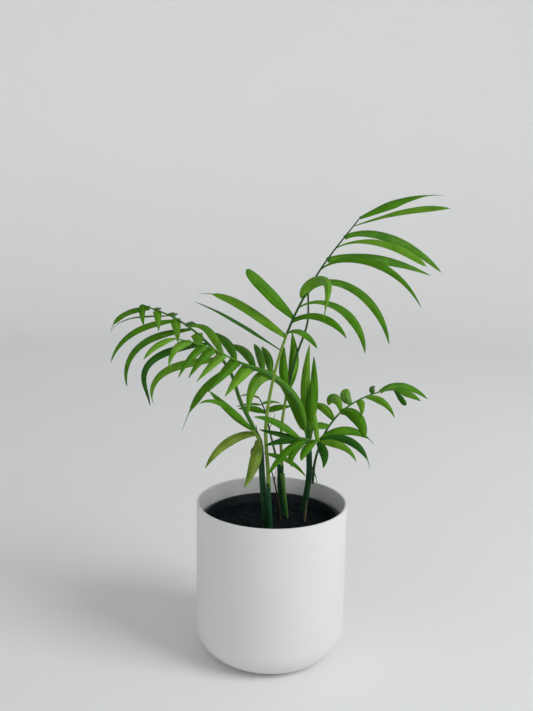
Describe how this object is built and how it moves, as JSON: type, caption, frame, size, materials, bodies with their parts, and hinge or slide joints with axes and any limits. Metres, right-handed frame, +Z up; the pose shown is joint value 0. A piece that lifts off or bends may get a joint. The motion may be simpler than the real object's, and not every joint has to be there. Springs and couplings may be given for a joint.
{
  "type": "parlour palm in a pot",
  "caption": "Young parlour palm with slender canes and feathery arching fronds, in a black nursery pot inside a plain white cylindrical cover pot with a rounded foot.",
  "frame": {"origin": "The middle of the cover pot's flat underside, on the surface that the pot stands on.", "axes": "+Z is up. +X is to the right and -Y is towards the viewer, as the picture shows the plant; the tall frond leans to +X."},
  "size_m": [0.3365, 0.1946, 0.4617],
  "materials": {
    "pot_white": "matte white",
    "liner_black": "black moulded plastic",
    "soil": "dark moist potting mix",
    "stem_green": "smooth dark green cane",
    "petiole_green": "smooth yellow-green stalk",
    "leaf_green": "satin green leaf",
    "dry_brown": "dry papery brown"
  },
  "bodies": {
    "root": {"pot": "pot_white", "nursery_pot": "liner_black", "soil": "soil", "stem_left": "stem_green", "stem_middle": "stem_green", "stem_right": "stem_green", "sheath_middle": "stem_green", "dry_sheath": "dry_brown", "dead_stalk": "dry_brown", "petiole_tall": "petiole_green", "petiole_left": "petiole_green", "petiole_arch": "petiole_green", "petiole_small": "petiole_green", "petiole_slender": "petiole_green", "petiole_right": "petiole_green", "petiole_fan": "petiole_green", "frond_tall": "leaf_green", "frond_left": "leaf_green", "frond_arch": "leaf_green", "frond_low": "leaf_green", "frond_crossing": "leaf_green", "frond_small": "leaf_green", "frond_slender": "leaf_green", "frond_spear": "leaf_green", "frond_right": "leaf_green", "frond_fan": "leaf_green"}
  },
  "joints": []
}
